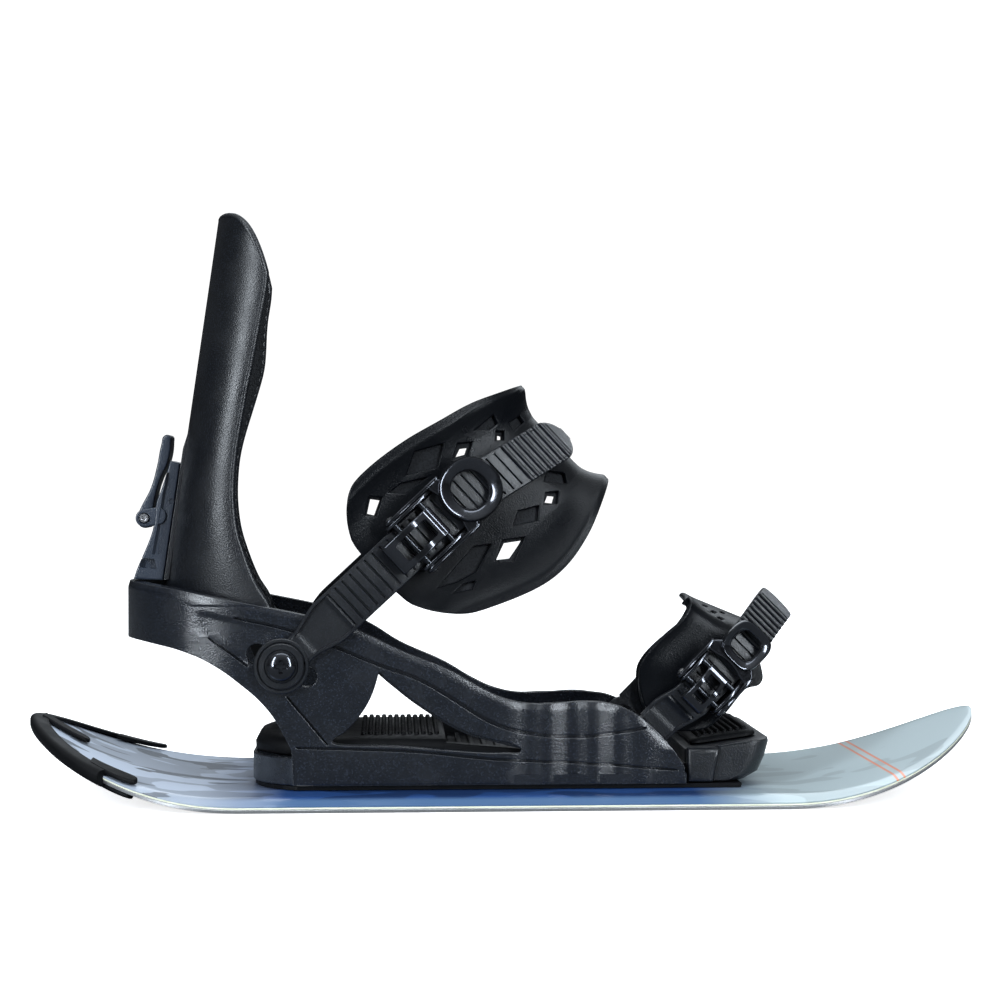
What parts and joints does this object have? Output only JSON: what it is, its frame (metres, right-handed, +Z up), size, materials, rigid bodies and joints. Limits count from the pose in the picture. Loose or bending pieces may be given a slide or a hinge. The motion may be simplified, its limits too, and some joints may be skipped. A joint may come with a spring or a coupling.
{
  "type": "skiboard with strap binding",
  "caption": "Short wide ski with a rubber tail bumper, carrying a strap binding with heel hoop, folding highback, ratchet ankle and toe straps and sliding toe ramp.",
  "frame": {"origin": "on the ground under the middle of the bounding box", "axes": "+X towards the nose of the board, +Y to its left, +Z up; the buckles are on the -Y side"},
  "size_m": [0.44, 0.15, 0.266],
  "materials": {
    "board_base": "sintered running base",
    "edge_steel": "ground edge",
    "core": "laminated core with pale sidewall",
    "topsheet": "clear coated print",
    "brass": "plain",
    "black_rubber": "moulded, slightly soft",
    "black_nylon": "glass filled nylon, satin",
    "grey_nylon": "satin",
    "black_metal": "black chrome",
    "bright_steel": "zinc plated"
  },
  "bodies": {
    "base": {"base_sheet": "board_base", "steel_edge": "edge_steel", "ski_core": "core", "topsheet": "topsheet", "insert_1": "brass", "insert_2": "brass", "insert_3": "brass", "insert_4": "brass", "tail_bumper": "black_rubber", "base_gasket": "black_rubber", "chassis": "black_nylon", "mounting_disc": "black_nylon", "disc_screw_1": "bright_steel", "disc_screw_2": "bright_steel", "disc_screw_3": "bright_steel", "disc_screw_4": "bright_steel", "heel_footbed": "black_rubber", "front_footbed": "black_rubber", "toe_ramp_screw_near": "bright_steel", "toe_ramp_screw_far": "bright_steel", "ankle_bolt_near": "black_metal", "ankle_bolt_far": "black_metal", "ankle_washer_near": "black_metal", "ankle_washer_far": "black_metal", "ankle_nut_near": "bright_steel", "ankle_nut_far": "bright_steel", "toe_bolt_near": "black_metal", "toe_bolt_far": "black_metal"},
    "ramp": {"toe_ramp": "black_nylon", "toe_ramp_pad": "black_rubber"},
    "highback": {"highback_shell": "black_nylon", "highback_liner": "black_rubber"},
    "lean_adjuster": {"lean_block": "grey_nylon", "lean_pin": "bright_steel"},
    "lean_lever": {"lean_lever": "grey_nylon"},
    "ankle_strap": {"ankle_ladder": "black_nylon", "ankle_pad": "black_nylon", "ankle_connector": "black_nylon", "ankle_connector_screw": "bright_steel", "ankle_buckle_frame": "black_metal", "ankle_lever_pin": "bright_steel", "ankle_release_pin": "bright_steel"},
    "ankle_lever": {"ankle_buckle_lever": "black_metal"},
    "ankle_release": {"ankle_buckle_release": "black_metal"},
    "toe_strap": {"toe_ladder": "black_nylon", "toe_pad": "black_nylon", "toe_connector": "black_nylon", "toe_connector_screw": "bright_steel", "toe_buckle_frame": "black_metal", "toe_lever_pin": "bright_steel", "toe_release_pin": "bright_steel"},
    "toe_lever": {"toe_buckle_lever": "black_metal"},
    "toe_release": {"toe_buckle_release": "black_metal"}
  },
  "joints": [
    {"name": "toe_ramp_slide", "type": "slide", "parent": "base", "child": "ramp", "axis": [1, 0, 0], "range_m": [0, 0.01]},
    {"name": "highback_fold", "type": "hinge", "parent": "base", "child": "highback", "pos_m": [-0.1018, 0, 0.0616], "axis": [0, 1, 0], "range_deg": [0, 32]},
    {"name": "lean_block_slide", "type": "slide", "parent": "highback", "child": "lean_adjuster", "axis": [0.1435, 0, 0.9897], "range_m": [0, 0.012]},
    {"name": "lean_lever_flip", "type": "hinge", "parent": "lean_adjuster", "child": "lean_lever", "pos_m": [-0.1664, 0, 0.1261], "axis": [0, -1, 0], "range_deg": [0, 95]},
    {"name": "ankle_strap_swing", "type": "hinge", "parent": "base", "child": "ankle_strap", "pos_m": [-0.1018, 0, 0.0616], "axis": [0, 1, 0], "range_deg": [-22, 10]},
    {"name": "ankle_lever_open", "type": "hinge", "parent": "ankle_strap", "child": "ankle_lever", "pos_m": [-0.04436, -0.05555, 0.11516], "axis": [0.682, 0, -0.7314], "range_deg": [0, 95]},
    {"name": "ankle_release_press", "type": "hinge", "parent": "ankle_strap", "child": "ankle_release", "pos_m": [-0.0338, -0.05406, 0.12501], "axis": [-0.682, 0, 0.7314], "range_deg": [0, 16], "stiffness_Nm_per_rad": 0.25, "springref_deg": -2.86},
    {"name": "toe_strap_swing", "type": "hinge", "parent": "base", "child": "toe_strap", "pos_m": [0.0604, 0, 0.0286], "axis": [0, 1, 0], "range_deg": [-20, 0]},
    {"name": "toe_lever_open", "type": "hinge", "parent": "toe_strap", "child": "toe_lever", "pos_m": [0.08477, -0.05, 0.04901], "axis": [0.7071, 0, -0.7071], "range_deg": [0, 95]},
    {"name": "toe_release_press", "type": "hinge", "parent": "toe_strap", "child": "toe_release", "pos_m": [0.09217, -0.04968, 0.05641], "axis": [-0.7071, 0, 0.7071], "range_deg": [0, 16], "stiffness_Nm_per_rad": 0.2, "springref_deg": -2.86}
  ]
}
